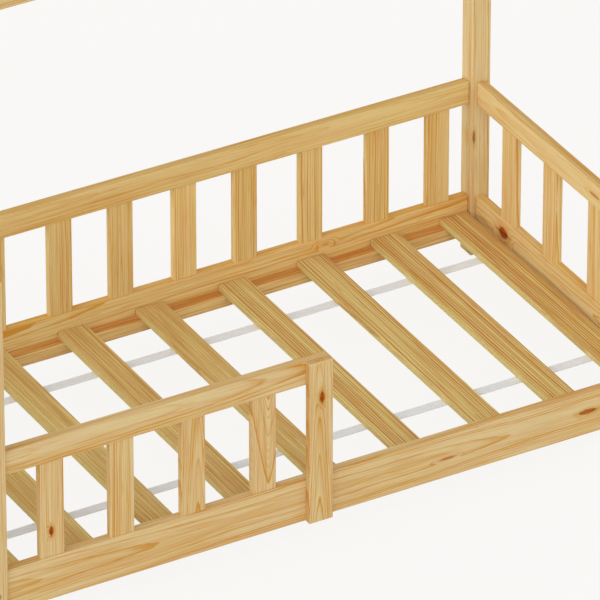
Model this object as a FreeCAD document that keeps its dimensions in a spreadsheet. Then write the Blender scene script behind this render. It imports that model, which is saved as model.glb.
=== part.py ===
import FreeCAD, Part
import os
import re
import Sketcher

# House bed of planed pine, in millimetres. The origin lies on the floor at the middle of the
# four feet, X runs along the bed, Y from the open front to the back, and Z up.

# Driving sizes
SIZES = (
    ("mattress_length", 1600.0),
    ("mattress_width", 800.0),
    ("length_play", 7.0),
    ("width_play", 3.0),
    ("post_size", 45.0),
    ("post_radius", 1.5),
    ("post_height", 840.0),
    ("roof_pitch", 45.0),
    ("ridge_size", 45.0),
    ("rail_thick", 22.0),
    ("rail_radius", 1.5),
    ("rail_ease", 2.5),
    ("floor_gap", 46.0),
    ("bottom_rail_height", 102.0),
    ("guard_gap", 231.0),
    ("top_rail_height", 56.0),
    ("guard_slat_width", 56.0),
    ("guard_slat_thick", 16.0),
    ("guard_slat_radius", 1.5),
    ("tenon_width", 40.0),
    ("tenon_thick", 8.0),
    ("tenon_depth", 12.0),
    ("tenon_play", 0.2),
    ("mortise_room", 1.0),
    ("back_gap", 48.0),
    ("end_gap", 104.0),
    ("front_gap_left", 84.0),
    ("front_gap_right", 68.0),
    ("entry_width", 821.0),
    ("upright_width", 56.0),
    ("upright_thick", 16.0),
    ("upright_radius", 1.5),
    ("upright_ease", 6.0),
    ("ledge_depth", 27.0),
    ("ledge_height", 29.0),
    ("ledge_raise", 19.0),
    ("ledge_play", 2.0),
    ("ledge_radius", 1.0),
    ("bed_slat_width", 67.0),
    ("bed_slat_thick", 15.0),
    ("bed_slat_play", 2.0),
    ("bed_slat_radius", 1.0),
    ("bed_gap", 5.0),
    ("tape_width", 25.0),
    ("tape_thick", 1.5),
    ("tape_spread", 461.0),
    ("tape_inset", 12.0),
    ("rail_tenon_thick", 12.0),
    ("rail_tenon_depth", 15.0),
    ("rail_shoulder", 12.0),
    ("ridge_tenon", 22.0),
    ("ridge_tenon_depth", 20.0),
    ("tongue_width", 24.0),
    ("tongue_thick", 8.0),
    ("tongue_length", 30.0),
)

# The bed is put together by hand, so each slat stands a little off its even place.
SHIFTS = {
    "back": (4.0, 12.0, 21.0, 23.0, 12.0, 8.0, -2.0, 1.0, 8.0, 0.0),
    "front": (0.0, -3.0, -2.0, -1.0),
    "end": (-8.0, -15.0, -1.0, 0.0),
    "bed": (-1.0, -16.0, -16.0, -6.0, -4.0, 11.0, 18.0, 13.0, 0.0),
}

# Sizes worked out from the driving ones
WORKED_OUT = {
    "clear_length": "mattress_length + length_play + rail_thick - post_size",
    "clear_width": "mattress_width + width_play + rail_thick - post_size",
    "post_x": "(clear_length + post_size) / 2",
    "post_y": "(clear_width + post_size) / 2",
    "outer_y": "post_y + post_size / 2",
    "inner_y": "post_y - post_size / 2",
    "bottom_rail_top": "floor_gap + bottom_rail_height",
    "top_rail_bottom": "bottom_rail_top + guard_gap",
    "guard_top": "top_rail_bottom + top_rail_height",
    "mitre_angle": "(90 - roof_pitch) / 2",
    "mitre_drop": "post_size * tan(mitre_angle)",
    "outer_peak": "post_height + outer_y * tan(roof_pitch)",
    "inner_peak": "post_height - mitre_drop + inner_y * tan(roof_pitch)",
    "ridge_middle": "outer_peak - ridge_size / 2 * tan(roof_pitch) - ridge_size / 2",
    "ledge_top": "floor_gap + ledge_raise + ledge_height",
    "rail_inner_y": "post_y - rail_thick / 2",
    "rail_outer_y": "post_y + rail_thick / 2",
    "bed_slat_length": "2 * (rail_inner_y - bed_slat_play)",
    "back_first": "back_gap + guard_slat_width / 2 - clear_length / 2",
    "back_last": "clear_length / 2 - back_gap - guard_slat_width / 2",
    "front_first": "front_gap_left + guard_slat_width / 2 - clear_length / 2",
    "front_last": "clear_length / 2 - entry_width - upright_width - front_gap_right - guard_slat_width / 2",
    "end_first": "end_gap + guard_slat_width / 2 - clear_width / 2",
    "end_last": "clear_width / 2 - end_gap - guard_slat_width / 2",
    "bed_first": "bed_gap + bed_slat_width / 2 - clear_length / 2",
    "bed_last": "clear_length / 2 - bed_gap - bed_slat_width / 2",
}

doc = FreeCAD.newDocument("house_bed")
sheet = doc.addObject("Spreadsheet::Sheet", "sizes")
cells = dict(SIZES)
for run, shifts in SHIFTS.items():
    for number, shift in enumerate(shifts, start=1):
        cells[f"{run}_shift_{number}"] = shift
for row, (alias, value) in enumerate(cells.items(), start=1):
    sheet.set(f"A{row}", alias)
    sheet.set(f"B{row}", str(value))
    sheet.setAlias(f"B{row}", alias)
doc.recompute()


def formula(text):
    """A formula in plain size names, as the document reads it."""
    def read(word):
        name = word.group(0)
        if name in WORKED_OUT:
            return "(" + formula(WORKED_OUT[name]) + ")"
        return "sizes." + name if name in cells else name
    return re.sub(r"[a-z][a-z_0-9]*", read, text)


def bind(target, name, text):
    target.setExpression(name, formula(text))


def slat_place(run, number):
    """Where slat `number` of a run stands along it."""
    steps = len(SHIFTS[run]) - 1
    return f"{run}_first + {number - 1} * ({run}_last - {run}_first) / {steps} + {run}_shift_{number}"


# Drawing helpers
UP = FreeCAD.Vector(0, 0, 1)
ROUGH = FreeCAD.Vector(9, 0, 0)
ACROSS = FreeCAD.Rotation(UP, 90)
SAME_PLACE = 0.01


def new_body(label, x="0", y="0", z="0", turn=FreeCAD.Rotation()):
    body = doc.addObject("PartDesign::Body", label)
    body.Label = label
    body.Placement = FreeCAD.Placement(FreeCAD.Vector(), turn)
    bind(body, "Placement.Base.x", x)
    bind(body, "Placement.Base.y", y)
    bind(body, "Placement.Base.z", z)
    return body


def sketch_on(body, role, shift="0"):
    """A sketch on an origin plane of the body, moved along the plane's normal."""
    sketch = body.newObject("Sketcher::SketchObject", body.Name + "_sketch")
    plane = next(feature for feature in body.Origin.OriginFeatures if feature.Role == role)
    sketch.AttachmentSupport = (plane, [""])
    sketch.MapMode = "FlatFace"
    bind(sketch, "AttachmentOffset.Base.z", shift)
    return sketch


def hold_point(sketch, curve, end, x, y):
    """Fix one point of a curve at x, y from the sketch's origin."""
    for kind, place in (("DistanceX", x), ("DistanceY", y)):
        index = sketch.addConstraint(Sketcher.Constraint(kind, -1, 1, curve, end, ROUGH.x))
        bind(sketch, f"Constraints[{index}]", place)


def outline(sketch, corners):
    """A closed outline of straight lines, drawn roughly and then held at its corners."""
    count = len(corners)
    ring = [FreeCAD.Rotation(UP, 360 * i / count).multVec(ROUGH) for i in range(count)]
    lines = [sketch.addGeometry(Part.LineSegment(ring[i], ring[(i + 1) % count])) for i in range(count)]
    for i, line in enumerate(lines):
        sketch.addConstraint(Sketcher.Constraint("Coincident", line, 2, lines[(i + 1) % count], 1))
        hold_point(sketch, line, 1, *corners[i])


def rectangle(sketch, width, depth, x="0", y="0"):
    left, right = f"{x} - ({width}) / 2", f"{x} + ({width}) / 2"
    low, high = f"{y} - ({depth}) / 2", f"{y} + ({depth}) / 2"
    outline(sketch, ((left, low), (right, low), (right, high), (left, high)))


def mortise(sketch, width, depth, x="0", y="0"):
    """The mouth of a mortise for a tenon of this section."""
    rectangle(sketch, f"{width} + 2 * tenon_play", f"{depth} + 2 * tenon_play", x, y)


def pad(body, sketch, length, side="One side", backwards=False):
    feature = body.newObject("PartDesign::Pad", body.Name + "_pad")
    feature.Profile = sketch
    feature.SideType = side
    feature.Reversed = backwards
    bind(feature, "Length", length)
    doc.recompute()


def pocket(body, sketch, depth, backwards=False):
    before = body.Shape.Volume
    feature = body.newObject("PartDesign::Pocket", body.Name + "_pocket")
    feature.Profile = sketch
    feature.Reversed = backwards
    bind(feature, "Length", depth)
    doc.recompute()
    if body.Shape.Volume >= before:
        raise RuntimeError(f"{feature.Name} cuts nothing")


def round_edges(body, radius, count, rank, keep=lambda edge: True):
    """Ease the `count` edges that rank highest, out of those to keep."""
    edges = body.Shape.Edges
    order = sorted((i for i, edge in enumerate(edges) if keep(edge)), key=lambda i: rank(edges[i]))
    base = body.Tip
    feature = body.newObject("PartDesign::Fillet", body.Name + "_fillet")
    feature.Base = (base, [f"Edge{i + 1}" for i in order[-count:]])
    bind(feature, "Radius", radius)
    doc.recompute()


def round_long_edges(body, radius):
    """Ease the four long edges of a board or beam."""
    round_edges(body, radius, 4, lambda edge: edge.Length)


def ease_ends(body, size):
    """Chamfer both end faces of a board all round, where it butts against the posts."""
    base = body.Tip
    across = [i for i, edge in enumerate(base.Shape.Edges) if edge.BoundBox.XLength < SAME_PLACE]
    rim = [f"Edge{i + 1}" for i in across]
    feature = body.newObject("PartDesign::Chamfer", body.Name + "_chamfer")
    feature.Base = (base, rim)
    bind(feature, "Size", size)
    doc.recompute()


# Posts, mortised for the rails and mitred at the top where the rafters start
BOTTOM_TENON = ("bottom_rail_height - 2 * rail_shoulder", "floor_gap + bottom_rail_height / 2")
TOP_TENON = ("top_rail_height - 2 * rail_shoulder", "top_rail_bottom + top_rail_height / 2")


def make_post(label, side_x, side_y, long_tenons):
    body = new_body(label, f"{side_x} * post_x", f"{side_y} * post_y")
    profile = sketch_on(body, "YZ_Plane")
    outer, inner = f"{side_y} * post_size / 2", f"{-side_y} * post_size / 2"
    outline(profile, ((inner, "0"), (outer, "0"), (outer, "post_height"),
                      (inner, "post_height - mitre_drop")))
    pad(body, profile, "post_size", side="Symmetric")
    round_long_edges(body, "post_radius")
    end_tenons = (BOTTOM_TENON, TOP_TENON)
    for role, side, tenons in (("YZ_Plane", -side_x, long_tenons), ("XZ_Plane", side_y, end_tenons)):
        mouths = sketch_on(body, role, f"{side} * post_size / 2")
        for height, middle in tenons:
            mortise(mouths, "rail_tenon_thick", height, "0", middle)
        pocket(body, mouths, "rail_tenon_depth + mortise_room", backwards=side < 0)
    tongue_slot(body, side_y, "0", backwards=False)


def mitre_tilt(side_y):
    """A tilt about X towards the mitre on that side, whose angle a formula then sets."""
    return FreeCAD.Rotation(FreeCAD.Vector(side_y, 0, 0), 1)


def tongue_slot(body, side_y, y, backwards):
    """The slot for half of a loose tongue, square to the mitre and at the middle of it."""
    sketch = sketch_on(body, "XY_Plane")
    sketch.AttachmentOffset = FreeCAD.Placement(FreeCAD.Vector(), mitre_tilt(side_y))
    bind(sketch, "AttachmentOffset.Rotation.Angle", "mitre_angle")
    bind(sketch, "AttachmentOffset.Base.y", y)
    bind(sketch, "AttachmentOffset.Base.z", "post_height - mitre_drop / 2")
    mortise(sketch, "tongue_thick", "tongue_width")
    pocket(body, sketch, "tongue_length / 2 + mortise_room", backwards=backwards)


make_post("post_front_left", -1, -1, (BOTTOM_TENON, TOP_TENON))
make_post("post_front_right", 1, -1, (BOTTOM_TENON,))
make_post("post_back_left", -1, 1, (BOTTOM_TENON, TOP_TENON))
make_post("post_back_right", 1, 1, (BOTTOM_TENON, TOP_TENON))


# Rails, each with its mortised face at its own zero height and a tenon at each end in a post
def make_rail(label, place, length, height, run, upward, start="0", side="Symmetric"):
    body = new_body(label, *place)
    plan = sketch_on(body, "XY_Plane")
    rectangle(plan, length, "rail_thick")
    pad(body, plan, height, backwards=not upward)
    ease_ends(body, "rail_ease")
    round_long_edges(body, "rail_radius")
    section = sketch_on(body, "YZ_Plane")
    middle = f"{height} / 2" if upward else f"-{height} / 2"
    rectangle(section, "rail_tenon_thick", f"{height} - 2 * rail_shoulder", "0", middle)
    share = "1" if side == "Symmetric" else "2"
    pad(body, section, f"({length} + 2 * rail_tenon_depth) / {share}", side, backwards=True)
    mouths = sketch_on(body, "XY_Plane")
    for number in range(1, len(SHIFTS[run]) + 1):
        mortise(mouths, "tenon_width", "tenon_thick", f"{slat_place(run, number)} - ({start})")
    pocket(body, mouths, "tenon_depth + mortise_room", backwards=upward)


for run, side_y in (("back", 1), ("front", -1)):
    make_rail(f"{run}_bottom_rail", ("0", f"{side_y} * post_y", "bottom_rail_top"), "clear_length",
              "bottom_rail_height", run, upward=False)
make_rail("back_top_rail", ("0", "post_y", "top_rail_bottom"), "clear_length",
          "top_rail_height", "back", upward=True)
make_rail("front_top_rail", ("-entry_width / 2", "-post_y", "top_rail_bottom"), "clear_length - entry_width",
          "top_rail_height", "front", upward=True, start="-entry_width / 2", side="One side")
for end, side_x in (("right", 1), ("left", -1)):
    make_rail(f"{end}_bottom_rail", (f"{side_x} * post_x", "0", "bottom_rail_top", ACROSS), "clear_width",
              "bottom_rail_height", "end", upward=False)
    make_rail(f"{end}_top_rail", (f"{side_x} * post_x", "0", "top_rail_bottom", ACROSS), "clear_width",
              "top_rail_height", "end", upward=True)


# Guard slats, tenoned into the rails above and below
def make_guard_slat(label, x, y, turn=FreeCAD.Rotation()):
    body = new_body(label, x, y, "bottom_rail_top + guard_gap / 2", turn)
    plan = sketch_on(body, "XY_Plane")
    rectangle(plan, "guard_slat_width", "guard_slat_thick")
    pad(body, plan, "guard_gap", side="Symmetric")
    round_long_edges(body, "guard_slat_radius")
    tenon = sketch_on(body, "XY_Plane")
    rectangle(tenon, "tenon_width", "tenon_thick")
    pad(body, tenon, "guard_gap + 2 * tenon_depth", side="Symmetric")


for run, side_y in (("back", 1), ("front", -1)):
    for number in range(1, len(SHIFTS[run]) + 1):
        make_guard_slat(f"{run}_slat_{number}", slat_place(run, number), f"{side_y} * post_y")
for side, side_x in (("right", 1), ("left", -1)):
    for number in range(1, len(SHIFTS["end"]) + 1):
        make_guard_slat(f"{side}_slat_{number}", f"{side_x} * post_x", slat_place("end", number), ACROSS)


# Upright board beside the entry, fixed on the outside of both front rails
def make_upright():
    body = new_body("front_upright", "clear_length / 2 - entry_width - upright_width / 2",
                    "-rail_outer_y - upright_thick / 2", "floor_gap")
    plan = sketch_on(body, "XY_Plane")
    rectangle(plan, "upright_width", "upright_thick")
    pad(body, plan, "guard_top - floor_gap")
    front = body.Shape.BoundBox.YMin
    in_front = lambda edge: edge.BoundBox.YMax < front + SAME_PLACE
    round_edges(body, "upright_ease", 1, lambda edge: edge.CenterOfMass.z, in_front)
    round_edges(body, "upright_radius", 2, lambda edge: edge.Length, in_front)


make_upright()


# Ledges along the long rails, which carry the slatted base
def make_ledge(label, side_y):
    body = new_body(label, "0", f"{side_y} * (rail_inner_y - ledge_depth / 2)", "floor_gap + ledge_raise")
    plan = sketch_on(body, "XY_Plane")
    rectangle(plan, "clear_length - 2 * ledge_play", "ledge_depth")
    pad(body, plan, "ledge_height")
    round_long_edges(body, "ledge_radius")


make_ledge("back_ledge", 1)
make_ledge("front_ledge", -1)


# Slatted base: loose slats on two tapes, which rolls up and lifts out
def make_bed_slat(label, x):
    body = new_body(label, x, "0", "ledge_top")
    plan = sketch_on(body, "XY_Plane")
    rectangle(plan, "bed_slat_width", "bed_slat_length")
    pad(body, plan, "bed_slat_thick")
    round_long_edges(body, "bed_slat_radius")


def make_tape(label, side_y):
    """A tape under the slats, from the first one to the last."""
    first, last = slat_place("bed", 1), slat_place("bed", len(SHIFTS["bed"]))
    body = new_body(label, f"({first} + {last}) / 2", f"{side_y} * tape_spread / 2", "ledge_top")
    plan = sketch_on(body, "XY_Plane")
    rectangle(plan, f"{last} - ({first}) + bed_slat_width - 2 * tape_inset", "tape_width")
    pad(body, plan, "tape_thick", backwards=True)


for number in range(1, len(SHIFTS["bed"]) + 1):
    make_bed_slat(f"bed_slat_{number}", slat_place("bed", number))
make_tape("tape_back", 1)
make_tape("tape_front", -1)


# Roof: two pairs of rafters, mitred to the posts and to each other, and the ridge beam
def make_rafter(label, side_x, side_y):
    body = new_body(label, f"{side_x} * post_x")
    profile = sketch_on(body, "YZ_Plane")
    outline(profile, ((f"{side_y} * outer_y", "post_height"), ("0", "outer_peak"), ("0", "inner_peak"),
                      (f"{side_y} * inner_y", "post_height - mitre_drop")))
    pad(body, profile, "post_size", side="Symmetric")
    round_long_edges(body, "post_radius")
    tongue_slot(body, side_y, f"{side_y} * post_y", backwards=True)
    mouth = sketch_on(body, "YZ_Plane", f"{-side_x} * post_size / 2")
    mortise(mouth, "ridge_tenon", "ridge_tenon", "0", "ridge_middle")
    pocket(body, mouth, "ridge_tenon_depth + mortise_room", backwards=side_x > 0)


def make_ridge():
    """The beam between the gables, with a tenon held between the two rafters at each end."""
    body = new_body("ridge_beam", z="ridge_middle")
    section = sketch_on(body, "YZ_Plane")
    rectangle(section, "ridge_size", "ridge_size")
    pad(body, section, "clear_length", side="Symmetric")
    round_long_edges(body, "post_radius")
    tenon = sketch_on(body, "YZ_Plane")
    rectangle(tenon, "ridge_tenon", "ridge_tenon")
    pad(body, tenon, "clear_length + 2 * ridge_tenon_depth", side="Symmetric")


for end, side_x in (("right", 1), ("left", -1)):
    make_rafter(f"rafter_back_{end}", side_x, 1)
    make_rafter(f"rafter_front_{end}", side_x, -1)
make_ridge()


# Loose tongues, which lock the four mitres between the posts and the rafters
def make_tongue(label, side_x, side_y):
    body = new_body(label, f"{side_x} * post_x", f"{side_y} * post_y", "post_height - mitre_drop / 2",
                    mitre_tilt(side_y))
    bind(body, "Placement.Rotation.Angle", "mitre_angle")
    section = sketch_on(body, "XY_Plane")
    rectangle(section, "tongue_thick", "tongue_width")
    pad(body, section, "tongue_length", side="Symmetric")


for end, side_x in (("right", 1), ("left", -1)):
    make_tongue(f"tongue_back_{end}", side_x, 1)
    make_tongue(f"tongue_front_{end}", side_x, -1)

# Check the document, then write each piece
doc.recompute()
for item in doc.Objects:
    if {"Invalid", "Error"} & set(item.State):
        raise RuntimeError(f"{item.Name} is {item.State}")
nodes = doc.findObjects("PartDesign::Body")
for node in nodes:
    if node.Shape.isNull() or not node.Shape.isValid():
        raise RuntimeError(f"{node.Label} has no valid shape")
os.makedirs("parts", exist_ok=True)
for node in nodes:
    node.Shape.exportStep(f"parts/{node.Label}.step")
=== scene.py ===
import math
import random

import bmesh
import bpy
from mathutils import Euler, Matrix, Vector


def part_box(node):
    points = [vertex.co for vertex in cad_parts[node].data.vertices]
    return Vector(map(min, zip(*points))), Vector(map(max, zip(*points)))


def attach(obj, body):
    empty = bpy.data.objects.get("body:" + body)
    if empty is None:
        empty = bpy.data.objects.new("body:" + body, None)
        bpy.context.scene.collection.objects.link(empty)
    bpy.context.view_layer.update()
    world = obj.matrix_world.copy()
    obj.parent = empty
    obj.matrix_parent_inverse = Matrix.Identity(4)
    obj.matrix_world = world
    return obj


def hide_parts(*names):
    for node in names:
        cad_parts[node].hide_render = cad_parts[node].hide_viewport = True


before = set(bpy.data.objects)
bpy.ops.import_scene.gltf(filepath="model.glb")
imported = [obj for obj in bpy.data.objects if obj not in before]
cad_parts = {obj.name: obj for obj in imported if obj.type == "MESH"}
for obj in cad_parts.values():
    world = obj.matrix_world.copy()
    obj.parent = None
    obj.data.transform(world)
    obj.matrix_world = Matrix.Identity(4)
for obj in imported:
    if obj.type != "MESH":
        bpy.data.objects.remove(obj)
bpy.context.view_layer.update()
scene = bpy.context.scene

# Posts: four square lengths of planed pine, one at each corner, mortised for the rails, with eased
# edges and mitred tops. Each is cut out of its own trunk, so one set of rings shows as lines, arches
# or circles on its faces.


class Field:
    """One socket of a material's nodes. Arithmetic on it adds Math nodes."""

    def __init__(self, tree, socket=None):
        self.tree = tree
        self.socket = socket

    def node(self, kind, output=0, settings=(), sockets=()):
        """A new node of this kind: its settings come first, then its sockets' values or links."""
        made = self.tree.nodes.new("ShaderNode" + kind)
        for name, value in dict(settings).items():
            setattr(made, name, value)
        for name, value in dict(sockets).items():
            if isinstance(value, Field):
                self.tree.links.new(value.socket, made.inputs[name])
            else:
                made.inputs[name].default_value = value
        return Field(self.tree, made.outputs[output])

    def also(self, output):
        """Another output of the same node."""
        return Field(self.tree, self.socket.node.outputs[output])

    def feeds(self, shader, socket):
        self.tree.links.new(self.socket, shader.inputs[socket])

    def math(self, operation, other=0.0, swapped=False):
        first, second = (other, self) if swapped else (self, other)
        return self.node("Math", 0, {"operation": operation}, {0: first, 1: second})

    def __add__(self, other):
        return self.math("ADD", other)

    def __sub__(self, other):
        return self.math("SUBTRACT", other)

    def __rsub__(self, other):
        return self.math("SUBTRACT", other, swapped=True)

    def __mul__(self, other):
        return self.math("MULTIPLY", other)

    def __truediv__(self, other):
        return self.math("DIVIDE", other)

    def __pow__(self, other):
        return self.math("POWER", other)

    __radd__ = __add__
    __rmul__ = __mul__

    def vector(self, operation, other=(0.0, 0.0, 0.0), output=0):
        return self.node("VectorMath", output, {"operation": operation}, {0: self, 1: other})

    def along(self, axis):
        """How far this place lies along an axis."""
        return self.vector("DOT_PRODUCT", axis, "Value")

    def ease(self, low, high, start=0.0, end=1.0):
        """A smooth step from start to end as the value goes from low to high."""
        ends = {"Value": self, "From Min": low, "From Max": high, "To Min": start, "To Max": end}
        return self.node("MapRange", 0, {"interpolation_type": "SMOOTHSTEP"}, ends)

    def mix(self, plain, full, blend="MIX"):
        """A colour between two, by this value."""
        return self.node("Mix", 2, {"data_type": "RGBA", "blend_type": blend}, {0: self, 6: plain, 7: full})

    def cloud(self, repeats, seed, detail=2.0):
        """Soft noise about zero on this place, with a number of repeats a metre on each axis."""
        return self.node("TexNoise", 0, {"noise_dimensions": "4D"}, {
            "Vector": self.vector("MULTIPLY", repeats), "W": seed, "Scale": 1.0, "Detail": detail}) - 0.5

    def drift(self, seed, detail=1.0):
        """Soft noise about zero along this one value."""
        return self.node("TexNoise", 0, {"noise_dimensions": "1D"}, {
            "W": self + seed, "Scale": 1.0, "Detail": detail}) - 0.5


def new_finish(name):
    """A new material: where its nodes start, and its surface."""
    material = bpy.data.materials.new(name)
    material.use_nodes = True
    return material, Field(material.node_tree), material.node_tree.nodes["Principled BSDF"]


def srgb(red, green, blue):
    """A colour given in 0 to 255 as on a screen, as the shader reads it."""
    linear = [((part / 255 + 0.055) / 1.055) ** 2.4 for part in (red, green, blue)]
    return (*linear, 1.0)


FRAME_PINE = {
    "spring": srgb(218, 193, 142), "summer": srgb(196, 130, 6), "resin": srgb(204, 142, 40),
    "ring": 0.0046, "stray": 0.013, "dark_years": 2.5, "every_year": 0.15, "sharp": 4.0, "lines": 2.0,
    "shade": 0.16,
}
POST_PINE = dict(FRAME_PINE, spring=srgb(226, 201, 149), shade=0.13, dark_years=3.0)
DEEPEST = 0.82
SWELL, RIPPLE = (2.6, 9.0, 9.0), (14.0, 60.0, 60.0)
FIBRE, STREAK = (9.0, 700.0, 700.0), (7.0, 400.0, 400.0)
TINT, RESIN, HUE = (2.2, 26.0, 26.0), (13.0, 210.0, 210.0), (6.0, 120.0, 120.0)
SWELL_DETAIL, DECADE_DETAIL, STREAK_DETAIL, RESIN_DETAIL = 1.5, 3.0, 3.0, 1.0
TINT_SEED, RESIN_SEED, STREAK_SEED, HUE_SEED, DECADE_SEED = 40.0, 80.0, 120.0, 160.0, 300.0
FIBRE_PUSH, RIPPLE_PUSH = 0.0010, 0.0022
WANDER_PACE, WANDER, DECADE_PACE = 0.37, 1.6, 0.30
WINTER, WINTER_LEFT = (0.94, 1.0), 0.1
DECADES, STREAKS, FIBRES, TINTS = 0.6, 1.6, 0.4, 0.8
RESIN_LEVEL, RESIN_SHARE = (0.15, 0.26), 0.5
CAP_FACING, END_FACING = (0.5, 0.9), (0.8, 0.97)
END_GRAIN = (0.88, 0.76, 0.62, 1.0)
HUE_MIDDLE, HUE_DRIFT = 0.5, 0.035
SATIN, LATE_GLOSS, FIBRE_DULL, WOOD_SHEEN = 0.58, 0.10, 0.16, 0.05
RELIEF, RELIEF_DEPTH, LATE_RISE, FIBRE_RISE = 0.25, 0.0004, 0.6, 0.5
KNOT_PALE, KNOT_DARK = srgb(188, 92, 14), srgb(104, 36, 3)
RAGGED, PATCH = (110.0, 150.0, 150.0), (130.0, 260.0, 260.0)
KNOT_DEPTH, KNOT_RAGGED, KNOT_FIBRE = 0.04, 0.6, 0.3
KNOT_HALO, KNOT_SWERVE, KNOT_STAIN = (0.4, 3.6), 2.2, 0.6
KNOT_RIM, RIM_LEVEL, RIM_SHARE = (0.6, 1.3), (0.4, 1.0), 0.25
PATCH_LEVEL, PATCH_SHARE = (-0.12, 0.22), 0.8
CRACK_SHAPE, CRACK_RAGGED, CRACK_RIM, CRACK_SHARE = (0.40, 0.0, 3.0), 0.5, (0.2, 1.0), 0.6


def sawn_board(node, turn, heart, taper=0.0, lean=(0.0, 0.0), wood=FRAME_PINE, ring=None,
               deep=0.0, edge=0.0, painted_dimming=0.0, calm=0.0, painted_shade_slope=0.0, tone=1.0, knots=()):
    """Gives a board its own wood. The trunk's heart lies `heart` from the board's middle across the
    grain, and its rings narrow by `taper` along it. The wood is deeper by `deep`, and painted shade makes
    it paler by `painted_shade_slope` a metre across, so deeper towards the bottom of a lying board. Its
    caps are the top and bottom of a lying board and the left and right of a standing one: painted shade
    makes them deeper by `edge` (painted light makes them paler where `edge` is below zero) and darker
    by a share `painted_dimming`, and on the other faces the ring lines weaken by a share `calm`. A knot
    is (place, half length, half width, darkness)."""
    low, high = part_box(node)
    seed = random.Random(node).uniform(0, 900)
    ring = ring or wood["ring"]
    turned = turn.to_matrix()
    grain, across = turned @ Vector((1, 0, 0)), turned @ Vector((0, 0, 1))
    material, start, surface = new_finish("pine_" + node)
    place = start.node("TexCoord", "Object")
    trunk = place.node("Mapping", 0, {"vector_type": "TEXTURE"}, {
        "Vector": place, "Location": (low + high) / 2 + turned @ Vector((0, *heart)),
        "Rotation": (turned @ Euler((0, *lean)).to_matrix()).to_euler()})
    swell = trunk.cloud(SWELL, seed, SWELL_DETAIL)
    fibre = trunk.cloud(FIBRE, seed)
    radius = trunk.vector("MULTIPLY", (0.0, 1.0, 1.0)).vector("LENGTH", output="Value")
    radius = radius + trunk.along((taper, 0.0, 0.0)) + swell * wood["stray"] + fibre * FIBRE_PUSH
    radius = radius + trunk.cloud(RIPPLE, seed) * RIPPLE_PUSH

    halos = []
    for spot, half_length, half_width, darkness in knots:
        branch = place.node("Mapping", 0, {"vector_type": "TEXTURE"}, {
            "Vector": place, "Location": spot, "Rotation": turn,
            "Scale": (half_length, KNOT_DEPTH, half_width)})
        ragged = place.cloud(RAGGED, seed)
        away = branch.vector("LENGTH", output="Value") * (ragged * KNOT_RAGGED + 1.0) + fibre * KNOT_FIBRE
        crack = branch.vector("MULTIPLY", CRACK_SHAPE).vector("LENGTH", output="Value")
        crack = crack + ragged * CRACK_RAGGED
        halo = away.ease(*KNOT_HALO, 1.0, 0.0)
        radius = radius + halo * halo * (ring * KNOT_SWERVE)
        halos.append((away, crack, halo * halo, darkness))

    count = radius / ring
    count = count + (count * WANDER_PACE).drift(seed) * WANDER
    season = count.math("FRACT")
    year = count.node("TexWhiteNoise", 0, {"noise_dimensions": "1D"}, {"W": count.math("FLOOR") + seed})
    strength = year ** wood["dark_years"] * (1 - wood["every_year"]) + wood["every_year"]
    late = season ** wood["sharp"] * strength * season.ease(*WINTER, 1.0, WINTER_LEFT)
    decade = (count * DECADE_PACE).drift(seed + DECADE_SEED, DECADE_DETAIL)
    tint = trunk.cloud(TINT, seed + TINT_SEED)
    resin = trunk.cloud(RESIN, seed + RESIN_SEED, RESIN_DETAIL).ease(*RESIN_LEVEL)
    streak = trunk.cloud(STREAK, seed + STREAK_SEED, STREAK_DETAIL)

    facing = start.node("NewGeometry", "Normal")
    cap = facing.along(across).math("ABSOLUTE").ease(*CAP_FACING)
    lines = late * wood["lines"]
    if calm:
        lines = lines * (cap * calm + (1 - calm))
    depth = lines + decade * DECADES + streak * STREAKS + fibre * FIBRES + tint * TINTS
    depth = depth + (wood["shade"] + deep)
    # Painted shade: deeper towards the bottom of a lying board, and deeper on the caps by `edge` (paler,
    # painted light, where it is below zero).
    if painted_shade_slope:
        depth = depth - (place.along(across) - across.dot(low + high) / 2) * painted_shade_slope
    if edge:
        depth = depth + cap * edge
    colour = depth.math("MINIMUM", DEEPEST).mix(wood["spring"], wood["summer"])
    colour = (resin * RESIN_SHARE).mix(colour, wood["resin"])
    end_face = facing.along(grain).math("ABSOLUTE").ease(*END_FACING)
    colour = end_face.mix(colour, END_GRAIN, "MULTIPLY")
    for away, crack, halo, darkness in halos:
        colour = (halo * darkness * KNOT_STAIN).mix(colour, wood["summer"])
        patch = place.cloud(PATCH, seed).ease(*PATCH_LEVEL) * PATCH_SHARE + away.ease(*RIM_LEVEL) * RIM_SHARE
        colour = (away.ease(*KNOT_RIM, 1.0, 0.0) * darkness).mix(colour, patch.mix(KNOT_PALE, KNOT_DARK))
        colour = (crack.ease(*CRACK_RIM, 1.0, 0.0) * darkness * CRACK_SHARE).mix(colour, KNOT_DARK)
    hue = trunk.cloud(HUE, seed + HUE_SEED) * HUE_DRIFT + HUE_MIDDLE
    # Painted shade: the caps are darker by a share `painted_dimming`.
    value = tone - cap * painted_dimming if painted_dimming else tone
    toned = start.node("HueSaturation", 0, {}, {"Hue": hue, "Value": value, "Color": colour})
    toned.feeds(surface, "Base Color")
    (SATIN - late * LATE_GLOSS + fibre * FIBRE_DULL).feeds(surface, "Roughness")
    surface.inputs["Specular IOR Level"].default_value = WOOD_SHEEN
    relief = late * LATE_RISE + fibre * FIBRE_RISE
    start.node("Bump", 0, {}, {
        "Strength": RELIEF, "Distance": RELIEF_DEPTH, "Height": relief}).feeds(surface, "Normal")
    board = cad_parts[node]
    board.data.materials.clear()
    board.data.materials.append(material)


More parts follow.
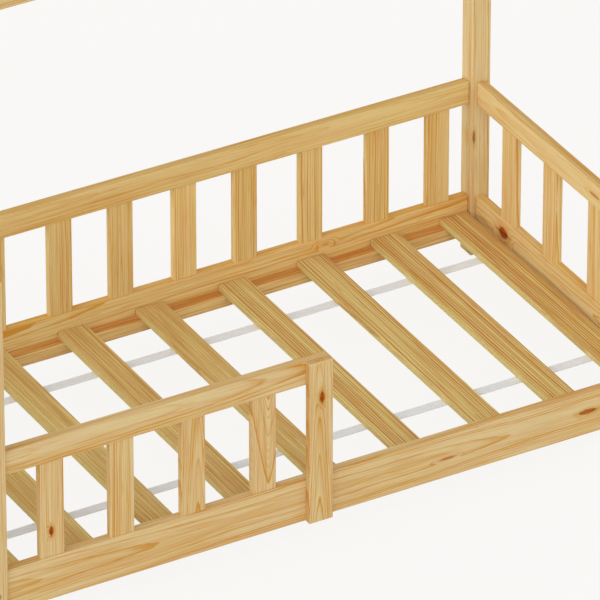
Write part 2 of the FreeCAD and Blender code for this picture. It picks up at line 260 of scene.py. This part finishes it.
ALONG_Z = Euler((0, -math.pi / 2, 0))
REAR_KNOT = ((0.7973, 0.390, 0.298), 0.016, 0.0035, 0.7)
sawn_board("post_back_right", ALONG_Z, (0.030, 0.045), 0.004, wood=POST_PINE, deep=0.04, edge=-0.10,
           knots=(REAR_KNOT,))
sawn_board("post_front_left", ALONG_Z, (-0.050, 0.030), 0.003, wood=POST_PINE, deep=-0.08, tone=0.905)
sawn_board("post_front_right", ALONG_Z, (0.045, -0.040), 0.005, wood=POST_PINE)
sawn_board("post_back_left", ALONG_Z, (-0.035, -0.050), 0.003, wood=POST_PINE)

# Rails: flat pine boards tenoned between the posts, wide ones at the bottom and narrow ones on top.
# Their long edges are rounded and their ends eased, and knots show on their inner and outer faces.
ALONG_X, ALONG_Y = Euler((0, 0, 0)), Euler((0, 0, math.pi / 2))
BACK_KNOT = ((0.4319, 0.4015, 0.1329), 0.014, 0.006, 0.12)
LOW_KNOTS = (((0.2559, -0.4235, 0.0929), 0.018, 0.003, 0.6), ((0.6007, -0.4235, 0.1021), 0.020, 0.0055, 0.8))
END_LOW_KNOT = ((0.8035, 0.2714, 0.1158), 0.018, 0.013, 1.2)
END_TOP_KNOT = ((0.8035, -0.1022, 0.4065), 0.020, 0.004, 0.5)
# Painted shade: the rails' tops and bottoms are deeper, and the top rails' tops darker, for less light from
# above; painted_shade_slope makes some rails deeper towards their bottoms.
RAIL_PAINTED_SHADE, INNER_PAINTED_SHADE, TOP_PAINTED_DIMMING = 0.20, 0.32, 0.085
# Partly painted light: the back and right boards' pine is yellower and paler for the warm light bounced
# inside the bed; their stronger ring lines are the wood's own.
INNER_PINE_PAINTED_BOUNCE = dict(FRAME_PINE, spring=srgb(227, 200, 138), summer=srgb(203, 136, 6), lines=2.4, shade=0.145)
END_PINE_PAINTED_BOUNCE = dict(FRAME_PINE, spring=srgb(232, 207, 150), summer=srgb(208, 140, 8), lines=2.8, shade=0.13)
sawn_board("back_bottom_rail", ALONG_X, (0.040, 0.050), 0.012, (0.0, 0.006), INNER_PINE_PAINTED_BOUNCE, deep=0.02,
           edge=INNER_PAINTED_SHADE, tone=1.05, knots=(BACK_KNOT,))
sawn_board("back_top_rail", ALONG_X, (0.034, 0.014), 0.004, (0.0, 0.004), INNER_PINE_PAINTED_BOUNCE, 0.0040,
           edge=INNER_PAINTED_SHADE, painted_dimming=TOP_PAINTED_DIMMING, painted_shade_slope=6.0)
sawn_board("front_bottom_rail", ALONG_X, (0.034, 0.006), 0.020, (0.0, -0.008), deep=0.04, edge=RAIL_PAINTED_SHADE,
           painted_shade_slope=1.5, knots=LOW_KNOTS)
sawn_board("front_top_rail", ALONG_X, (0.040, 0.012), 0.008, (0.0, 0.012), edge=RAIL_PAINTED_SHADE, painted_shade_slope=3.5)
sawn_board("right_bottom_rail", ALONG_Y, (-0.034, 0.010), 0.014, (0.0, 0.004), END_PINE_PAINTED_BOUNCE, deep=0.06,
           edge=INNER_PAINTED_SHADE, knots=(END_LOW_KNOT,))
sawn_board("right_top_rail", ALONG_Y, (-0.026, 0.006), 0.012, (0.0, -0.006), END_PINE_PAINTED_BOUNCE, 0.0045,
           edge=INNER_PAINTED_SHADE, painted_dimming=TOP_PAINTED_DIMMING, painted_shade_slope=3.0, knots=(END_TOP_KNOT,))
sawn_board("left_bottom_rail", ALONG_Y, (0.036, -0.020), 0.012, (0.0, 0.006), edge=RAIL_PAINTED_SHADE)
sawn_board("left_top_rail", ALONG_Y, (0.042, 0.015), 0.008, (0.0, 0.005), edge=RAIL_PAINTED_SHADE)

# Bolts: flat-headed furniture bolts of bronzed steel, two through each post into the ends of the end
# rails. A head lies tight on the post's outer face and has a socket for a hexagonal key.
HEAD_RADIUS, HEAD_RISE, HEAD_EASE, HEAD_SUNK = 0.0065, 0.0009, 0.0004, 0.0004
KEY_RADIUS, KEY_DEPTH = 0.0024, 0.0008
HEAD_SIDES, KEY_SIDES = 36, 6
BRONZE_DARK, BRONZE_PALE = srgb(178, 136, 56), srgb(206, 168, 92)
RUB, RUB_SEED, RUB_LEVEL = (900.0, 900.0, 900.0), 3.0, (-0.2, 0.3)
HEAD_DULL, RUB_DULL = 0.40, 0.3
bronze, start, surface = new_finish("bronzed_steel")
rubbed = start.node("TexCoord", "Object").cloud(RUB, RUB_SEED)
rubbed.ease(*RUB_LEVEL).mix(BRONZE_DARK, BRONZE_PALE).feeds(surface, "Base Color")
(rubbed * RUB_DULL + HEAD_DULL).feeds(surface, "Roughness")
surface.inputs["Metallic"].default_value = 1.0


def raise_rim(head, rim, share, rise):
    """Extrudes a rim of edges by a height, drawn in to a share of its radius. Gives the new rim."""
    grown = bmesh.ops.extrude_edge_only(head, edges=rim)["geom"]
    corners = [item for item in grown if isinstance(item, bmesh.types.BMVert)]
    bmesh.ops.scale(head, vec=(share, share, 1.0), verts=corners)
    bmesh.ops.translate(head, vec=(0.0, 0.0, rise), verts=corners)
    return [edge for edge in head.edges if all(corner in corners for corner in edge.verts)]


def order_faces(head):
    """Lists the faces by their corners, since extruding leaves them in a different order each run."""
    head.verts.index_update()
    ordered = sorted(head.faces, key=lambda face: sorted(corner.index for corner in face.verts))
    for place, face in enumerate(ordered):
        face.index = place
    head.faces.sort()


for post in ("front_left", "front_right", "back_left", "back_right"):
    post_low, post_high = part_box("post_" + post)
    for level in ("bottom", "top"):
        rail_low, rail_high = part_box(f"{post.split('_')[1]}_{level}_rail")
        head = bmesh.new()
        bmesh.ops.create_circle(head, segments=HEAD_SIDES, radius=HEAD_RADIUS)
        foot = head.edges[:]
        rim = raise_rim(head, foot, 1.0, HEAD_SUNK + HEAD_RISE - HEAD_EASE)
        rim = raise_rim(head, rim, 1.0 - HEAD_EASE / HEAD_RADIUS, HEAD_EASE)
        socket = bmesh.ops.create_circle(head, segments=KEY_SIDES, radius=KEY_RADIUS)["verts"]
        bmesh.ops.translate(head, vec=(0.0, 0.0, HEAD_SUNK + HEAD_RISE), verts=socket)
        bmesh.ops.subdivide_edges(head, edges=[edge for edge in head.edges if edge.is_wire],
                                  cuts=HEAD_SIDES // KEY_SIDES - 1)
        brink = [edge for edge in head.edges if edge.is_wire]
        bmesh.ops.bridge_loops(head, edges=rim + brink)
        for hole in (foot, raise_rim(head, brink, 1.0, -KEY_DEPTH)):
            bmesh.ops.contextual_create(head, geom=hole)
        bmesh.ops.recalc_face_normals(head, faces=head.faces)
        order_faces(head)
        outward = 1 if post.startswith("back") else -1
        face = post_high.y if outward > 0 else post_low.y
        middle_x, middle_z = (post_low.x + post_high.x) / 2, (rail_low.z + rail_high.z) / 2
        spot = Vector((middle_x, face - outward * HEAD_SUNK, middle_z))
        spin = random.Random(f"bolt {post} {level}").uniform(0, math.pi)
        turn = Matrix.Rotation(-outward * math.pi / 2, 4, "X") @ Matrix.Rotation(spin, 4, "Z")
        bmesh.ops.transform(head, matrix=Matrix.Translation(spot) @ turn, verts=head.verts)
        bolt = bpy.data.objects.new(f"bolt_{post}_{level}", bpy.data.meshes.new(f"bolt_{post}_{level}"))
        head.to_mesh(bolt.data)
        head.free()
        bolt.data.materials.append(bronze)
        scene.collection.objects.link(bolt)
        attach(bolt, "frame")

# Guard slats: short flat boards of the same pine, tenoned upright between the rails. Most are sawn
# across the rings, so that straight lines run up them; a few show arches, and one has a knot.
FRONT_KNOT = ((-0.6826, -0.4205, 0.2092), 0.0098, 0.0052, 1.2)
sawn_board("front_slat_1", ALONG_Z, (0.030, -0.045), 0.012, knots=(FRONT_KNOT,))
sawn_board("front_slat_2", ALONG_Z, (0.020, -0.065), 0.004)
sawn_board("front_slat_3", ALONG_Z, (0.004, -0.010), 0.05)
sawn_board("front_slat_4", ALONG_Z, (-0.002, -0.010), -0.17)
PALER = {"back_slat_6": (-0.04, 1.07), "back_slat_8": (-0.08, 1.0)}
# Painted light: the back slats' narrow sides are paler than their faces.
SIDE_PAINTED_LIGHT = -0.20
BESIDE, BEHIND, MOST_TAPER, MOST_DEEP = (0.04, 0.09), (0.010, 0.030), 0.02, 0.06
for run, count in (("back", 10), ("right", 4), ("left", 4)):
    for number in range(1, count + 1):
        node = f"{run}_slat_{number}"
        chance = random.Random("cut of " + node)
        beside = chance.choice((-1, 1)) * chance.uniform(*BESIDE)
        behind = chance.uniform(*BEHIND)
        heart = (behind, beside) if run == "back" else (beside, behind)
        taper = chance.uniform(-MOST_TAPER, MOST_TAPER)
        deep = chance.uniform(-MOST_DEEP, MOST_DEEP)
        shift, tone = PALER.get(node, (0.0, 1.0))
        sawn_board(node, ALONG_Z, heart, taper, wood=END_PINE_PAINTED_BOUNCE if run == "right" else INNER_PINE_PAINTED_BOUNCE,
                   deep=deep + shift, edge=SIDE_PAINTED_LIGHT if run == "back" else 0.0, tone=tone)

# Upright: the tall flat board beside the entry, fixed on the front of the rails. It is sawn near
# the heart, so nested arches run up its face, and it has one knot.
UPRIGHT_KNOT = ((-0.0551, -0.4395, 0.349), 0.013, 0.0060, 1.1)
# Painted shade: the upright's narrow sides are deeper.
UPRIGHT_PAINTED_SHADE = 0.25
sawn_board("front_upright", ALONG_Z, (0.003, 0.004), 0.06, edge=UPRIGHT_PAINTED_SHADE, knots=(UPRIGHT_KNOT,))

# Ledges: square pine strips fixed to the insides of the long bottom rails, one along each, for the
# slatted base to lie on. Their wood is plainer than the rails', and painted shade deepens their tops
# and bottoms for the shade under the bed slats.
LEDGE_PINE = dict(FRAME_PINE, spring=srgb(241, 206, 138), summer=srgb(184, 104, 2), lines=0.6, shade=0.12)
LEDGE_PAINTED_SHADE = 0.55
sawn_board("back_ledge", ALONG_X, (0.05, 0.03), 0.003, wood=LEDGE_PINE, edge=LEDGE_PAINTED_SHADE)
sawn_board("front_ledge", ALONG_X, (-0.05, 0.03), 0.003, wood=LEDGE_PINE, edge=LEDGE_PAINTED_SHADE)

# Bed slats: nine loose boards of a yellower pine, laid across the ledges. They are sawn across
# the rings, so fine straight lines run along them, with a few strong red-brown ones in each.
SLAT_PINE = {
    "spring": srgb(225, 205, 136), "summer": srgb(184, 110, 24), "resin": srgb(190, 126, 40),
    "ring": 0.0056, "stray": 0.005, "dark_years": 2.0, "every_year": 0.3, "sharp": 2.4, "lines": 2.6,
    "shade": 0.11,
}
# Painted light: the bed slats' sides are made paler than their tops.
SLAT_SIDE_PAINTED_LIGHT, SLAT_CALM = -0.45, 0.65
LAST_SLAT, LAST_DEEP = 9, 0.14
FINE_SLATS, FINE_RING = 5, 0.0028
SLAT_BESIDE, SLAT_BEHIND, SLAT_LEAN, SLAT_DEEP = (0.10, 0.18), 0.03, (0.004, 0.012), (-0.02, 0.04)
for number in range(1, LAST_SLAT + 1):
    node = f"bed_slat_{number}"
    chance = random.Random("cut of " + node)
    beside = chance.choice((-1, 1)) * chance.uniform(*SLAT_BESIDE)
    heart = (beside, chance.uniform(-SLAT_BEHIND, SLAT_BEHIND))
    lean = tuple(chance.uniform(-most, most) for most in SLAT_LEAN)
    deep = LAST_DEEP if number == LAST_SLAT else chance.uniform(*SLAT_DEEP)
    ring = FINE_RING if number <= FINE_SLATS else SLAT_PINE["ring"]
    sawn_board(node, ALONG_Y, heart, 0.0, lean, SLAT_PINE, ring, deep + SLAT_SIDE_PAINTED_LIGHT, -SLAT_SIDE_PAINTED_LIGHT,
               calm=SLAT_CALM)

# Webbing: two bands of pale woven tape under the bed slats, which keep them evenly apart and let
# the base be rolled up. A band is drawn tight and dips a little between one slat and the next.
TAPE_THICK, TAPE_CLEAR, TAPE_DIP = 0.0011, 0.0002, 0.0003
TAPE_STEPS = (310, 8)
TAPE_DARK, TAPE_PALE = srgb(226, 227, 228), srgb(246, 248, 250)
THREAD, RIB, THREAD_RISE, RIB_RISE, WEAVE_MIDDLE = 0.0022, 0.0012, 0.3, 0.2, 0.5
DUST, DUST_SEED = (18.0, 60.0, 60.0), 5.0
WEAVE_PAINTED_SHADE, DUST_PALE, TAPE_TONE = 0.35, 0.5, 0.35
TAPE_DULL, WEAVE_GLOSS, TAPE_SHEEN = 0.92, 0.12, 0.2
WEAVE_RELIEF, WEAVE_DEPTH = 0.5, 0.0004
slat_ends = [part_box(f"bed_slat_{number}") for number in range(1, LAST_SLAT + 1)]
for node in ("tape_back", "tape_front"):
    low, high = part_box(node)
    middle, size = (low + high) / 2, high - low
    strip = bmesh.new()
    bmesh.ops.create_grid(strip, x_segments=TAPE_STEPS[0], y_segments=TAPE_STEPS[1], size=0.5)
    bmesh.ops.scale(strip, vec=(size.x, size.y, 1.0), verts=strip.verts)
    bmesh.ops.translate(strip, vec=(middle.x, middle.y, high.z - TAPE_CLEAR), verts=strip.verts)
    for left, right in zip(slat_ends, slat_ends[1:]):
        gap_start, gap = left[1].x, right[0].x - left[1].x
        for corner in strip.verts:
            share = (corner.co.x - gap_start) / gap
            if 0 < share < 1:
                corner.co.z -= TAPE_DIP * math.sin(math.pi * share) ** 2
    band = bpy.data.objects.new("webbing_" + node, bpy.data.meshes.new("webbing_" + node))
    strip.to_mesh(band.data)
    strip.free()
    scene.collection.objects.link(band)
    wall = band.modifiers.new("thickness", "SOLIDIFY")
    wall.thickness = TAPE_THICK

    material, start, surface = new_finish("woven_" + node)
    place = start.node("TexCoord", "Object")
    weft, across = place.along((1.0, 0.0, 0.0)), place.along((0.0, 1.0, 0.0)) - middle.y
    chevron = (weft + across.math("ABSOLUTE")) * (2 * math.pi / THREAD)
    ribs = across * (2 * math.pi / RIB)
    weave = chevron.math("SINE") * THREAD_RISE + ribs.math("SINE") * RIB_RISE + WEAVE_MIDDLE
    # Painted shade: the weave's hollows are darker and its ridges paler; the dust is the tape's own.
    paleness = weave * WEAVE_PAINTED_SHADE + place.cloud(DUST, DUST_SEED) * DUST_PALE + TAPE_TONE
    paleness.mix(TAPE_DARK, TAPE_PALE).feeds(surface, "Base Color")
    (TAPE_DULL - weave * WEAVE_GLOSS).feeds(surface, "Roughness")
    surface.inputs["Specular IOR Level"].default_value = TAPE_SHEEN
    start.node("Bump", 0, {}, {
        "Strength": WEAVE_RELIEF, "Distance": WEAVE_DEPTH, "Height": weave}).feeds(surface, "Normal")
    band.data.materials.append(material)
    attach(band, "slatted_base")
    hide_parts(node)

# Roof: square pine rafters mitred to the posts and to each other over each end, and the ridge beam
# tenoned between the two gables. A loose tongue, out of sight, locks each lower mitre.
RAFTER_BESIDE, RAFTER_BEHIND, ROOF_TAPER = 0.05, (0.04, 0.06), 0.004
for end in ("right", "left"):
    for face, side_y in (("back", 1), ("front", -1)):
        slope = Vector((0, -side_y, 1)).to_track_quat("X", "Z").to_euler()
        chance = random.Random(f"rafter {face} {end}")
        beside = chance.uniform(-RAFTER_BESIDE, RAFTER_BESIDE)
        heart = (beside, chance.choice((-1, 1)) * chance.uniform(*RAFTER_BEHIND))
        sawn_board(f"rafter_{face}_{end}", slope, heart, ROOF_TAPER)
        sawn_board(f"tongue_{face}_{end}", ALONG_X, (0.03, 0.03))
sawn_board("ridge_beam", ALONG_X, (0.02, 0.05), ROOF_TAPER)

# Studio: pale walls under a darker ceiling, one low, very wide lamp at the front left, and a pale
# floor that takes only a hint of the bed's shadow.
PALE, FLOOR_PALE, FLOOR_DULL = srgb(248, 247, 245), srgb(232, 231, 229), 0.9
WALLS, CEILING = 0.86, 0.50
world = bpy.data.worlds.new("studio")
world.use_nodes = True
scene.world = world
start = Field(world.node_tree)
ray = start.node("LightPath")
seen = (ray + ray.also("Is Glossy Ray")).math("MINIMUM", 1.0)
upward = start.node("TexCoord", "Generated").along((0.0, 0.0, 1.0))
seen.mix(upward.ease(0.0, 1.0, WALLS, CEILING), PALE).feeds(world.node_tree.nodes["Background"], "Color")

LAMP_TURN, LAMP_RISE = math.radians(-56), math.radians(11)
LAMP_POWER, LAMP_SPREAD = 2.36, math.radians(130)
lamp = bpy.data.objects.new("softbox", bpy.data.lights.new("softbox", "SUN"))
lamp.data.energy = LAMP_POWER
lamp.data.angle = LAMP_SPREAD
lamp.rotation_euler = Euler((math.pi / 2 - LAMP_RISE, 0, LAMP_TURN))
scene.collection.objects.link(lamp)

FLOOR_HALF, SHADOW_SHARE, FLOOR_GLOW = 120.0, 0.07, 1.03
plan = bmesh.new()
bmesh.ops.create_grid(plan, x_segments=1, y_segments=1, size=FLOOR_HALF)
floor = bpy.data.objects.new("floor", bpy.data.meshes.new("floor"))
plan.to_mesh(floor.data)
plan.free()
scene.collection.objects.link(floor)
material, start, surface = new_finish("studio_floor")
surface.inputs["Base Color"].default_value = FLOOR_PALE
surface.inputs["Roughness"].default_value = FLOOR_DULL
surface.inputs["Specular IOR Level"].default_value = 0.0
glow = start.node("Emission", 0, {}, {"Color": PALE, "Strength": FLOOR_GLOW})
ray = start.node("LightPath")
share = (ray + ray.also("Is Glossy Ray")).math("MINIMUM", 1.0) * (1 - SHADOW_SHARE)
skin = start.node("MixShader", 0, {}, {0: share, 1: Field(material.node_tree, surface.outputs[0]), 2: glow})
skin.feeds(material.node_tree.nodes["Material Output"], "Surface")
floor.data.materials.append(material)

# View: a long lens from the front left and above, aimed at a spot under the middle of the slatted
# base. The bed reaches out of the picture on three sides.
AIM = Vector((0.3515, 0.3704, 0.0294))
LOOK = Vector((0.42059, 0.74141, -0.52288))
CAMERA_DISTANCE, CAMERA_REACH = 20.06, 400.0
LENS, SENSOR = 555.2, 36.0
camera = bpy.data.objects.new("camera", bpy.data.cameras.new("camera"))
camera.data.sensor_width = SENSOR
camera.data.lens = LENS
camera.data.clip_end = CAMERA_REACH
camera.location = AIM - LOOK * CAMERA_DISTANCE
camera.rotation_euler = LOOK.to_track_quat("-Z", "Y").to_euler()
scene.collection.objects.link(camera)
scene.camera = camera
scene.view_settings.view_transform = "Standard"
